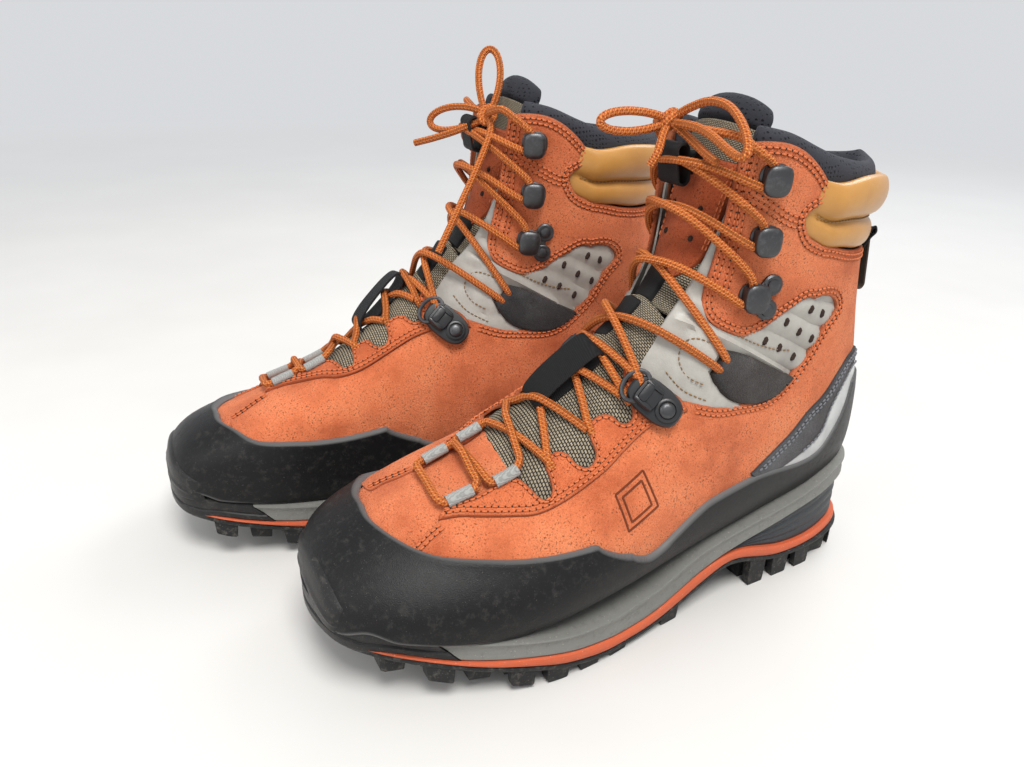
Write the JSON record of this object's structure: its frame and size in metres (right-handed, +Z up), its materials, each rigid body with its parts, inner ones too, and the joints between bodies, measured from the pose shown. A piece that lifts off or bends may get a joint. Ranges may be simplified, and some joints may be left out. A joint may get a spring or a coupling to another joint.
{
  "type": "pair of mountaineering boots",
  "caption": "Lace-up suede mountaineering boots with rubber rands, lugged soles, hinged padded cuffs, loose tongues, lace locks and speed hooks, standing side by side.",
  "frame": {"origin": "on the floor, at the middle of the box round the pair", "axes": "+Z up, -Y towards the left boot's toe, +X to the left boot's outer side"},
  "size_m": [0.2467, 0.3487, 0.2398],
  "materials": {
    "outsole_rubber": "matt moulded rubber",
    "stripe_rubber": "matt moulded rubber",
    "midsole_foam": "matt moulded foam rubber",
    "insert_rubber": "ribbed moulded rubber",
    "shank_steel": "plain rolled",
    "board_fibre": "pressed fibre board",
    "footbed_felt": "felt on foam",
    "rand_rubber": "fine-grained rubber sheet",
    "stiffener": "thermoformed sheet",
    "lining_fabric": "knitted lining",
    "orange_suede": "brushed suede",
    "slate_suede": "brushed suede",
    "gold_leather": "smooth grained leather",
    "grey_leather": "smooth perforated leather",
    "collar_mesh": "spacer mesh",
    "check_mesh": "coarse woven mesh",
    "black_webbing": "woven tape",
    "grey_webbing": "woven tape",
    "plate_plastic": "moulded",
    "hook_steel": "dark plated pressed steel",
    "lace_cord": "braided round cord",
    "loop_webbing": "woven tape"
  },
  "bodies": {
    "left_lower": {"left_outsole": "outsole_rubber", "left_sole_stripe": "stripe_rubber", "left_midsole": "midsole_foam", "left_heel_insert": "insert_rubber", "left_shank": "shank_steel", "left_lasting_board": "board_fibre", "left_rand": "rand_rubber", "left_toe_puff": "stiffener", "left_heel_counter": "stiffener", "left_lining": "lining_fabric", "left_vamp": "orange_suede", "left_quarters": "orange_suede", "left_heel_overlay": "slate_suede", "left_back_strip": "gold_leather", "left_flex_panels": "grey_leather", "left_throat_mesh": "check_mesh", "left_webbing_loops": "grey_webbing", "left_lock_plates": "plate_plastic", "left_lock_rivets": "hook_steel", "left_lace_lower": "lace_cord"},
    "left_cuff": {"left_cuff": "orange_suede", "left_flex_cuff": "gold_leather", "left_collar": "collar_mesh", "left_lace_hooks": "hook_steel", "left_lace_upper": "lace_cord"},
    "left_tongue": {"left_tongue": "collar_mesh", "left_tongue_facing": "orange_suede", "left_lace_keepers": "black_webbing"},
    "left_footbed": {"left_footbed": "footbed_felt"},
    "left_heel_loop": {"left_heel_loop": "loop_webbing"},
    "right_lower": {"right_outsole": "outsole_rubber", "right_sole_stripe": "stripe_rubber", "right_midsole": "midsole_foam", "right_heel_insert": "insert_rubber", "right_shank": "shank_steel", "right_lasting_board": "board_fibre", "right_rand": "rand_rubber", "right_toe_puff": "stiffener", "right_heel_counter": "stiffener", "right_lining": "lining_fabric", "right_vamp": "orange_suede", "right_quarters": "orange_suede", "right_heel_overlay": "slate_suede", "right_back_strip": "gold_leather", "right_flex_panels": "grey_leather", "right_throat_mesh": "check_mesh", "right_webbing_loops": "grey_webbing", "right_lock_plates": "plate_plastic", "right_lock_rivets": "hook_steel", "right_lace_lower": "lace_cord"},
    "right_cuff": {"right_cuff": "orange_suede", "right_flex_cuff": "gold_leather", "right_collar": "collar_mesh", "right_lace_hooks": "hook_steel", "right_lace_upper": "lace_cord"},
    "right_tongue": {"right_tongue": "collar_mesh", "right_tongue_facing": "orange_suede", "right_lace_keepers": "black_webbing"},
    "right_footbed": {"right_footbed": "footbed_felt"},
    "right_heel_loop": {"right_heel_loop": "loop_webbing"}
  },
  "joints": [
    {"name": "left_cuff_flex", "type": "hinge", "parent": "left_lower", "child": "left_cuff", "pos_m": [0.0681, 0.1002, 0.12], "axis": [1, 0, 0], "range_deg": [-5, 10], "deforming": ["left_flex_panels", "left_back_strip"]},
    {"name": "left_tongue_lean", "type": "hinge", "parent": "left_cuff", "child": "left_tongue", "pos_m": [0.0681, 0.0322, 0.152], "axis": [1, 0, 0], "range_deg": [-6, 2]},
    {"name": "left_footbed_lift", "type": "hinge", "parent": "left_lower", "child": "left_footbed", "pos_m": [0.0681, -0.1188, 0.041], "axis": [1, 0, 0], "range_deg": [0, 4]},
    {"name": "left_heel_loop_flip", "type": "hinge", "parent": "left_cuff", "child": "left_heel_loop", "pos_m": [0.0681, 0.1602, 0.172], "axis": [1, 0, 0], "range_deg": [0, 85]},
    {"name": "right_cuff_flex", "type": "hinge", "parent": "right_lower", "child": "right_cuff", "pos_m": [-0.05354, 0.06046, 0.12], "axis": [0.9945, -0.1045, 0], "range_deg": [-5, 10], "deforming": ["right_flex_panels", "right_back_strip"]},
    {"name": "right_tongue_lean", "type": "hinge", "parent": "right_cuff", "child": "right_tongue", "pos_m": [-0.06065, -0.00717, 0.152], "axis": [0.9945, -0.1045, 0], "range_deg": [-6, 2]},
    {"name": "right_footbed_lift", "type": "hinge", "parent": "right_lower", "child": "right_footbed", "pos_m": [-0.07643, -0.15734, 0.041], "axis": [0.9945, -0.1045, 0], "range_deg": [0, 4]},
    {"name": "right_heel_loop_flip", "type": "hinge", "parent": "right_cuff", "child": "right_heel_loop", "pos_m": [-0.04727, 0.12013, 0.172], "axis": [0.9945, -0.1045, 0], "range_deg": [0, 85]},
    {"name": "right_boot_apart", "type": "slide", "parent": "left_lower", "child": "right_lower", "axis": [-1, 0, 0], "range_m": [0, 0.3]}
  ]
}
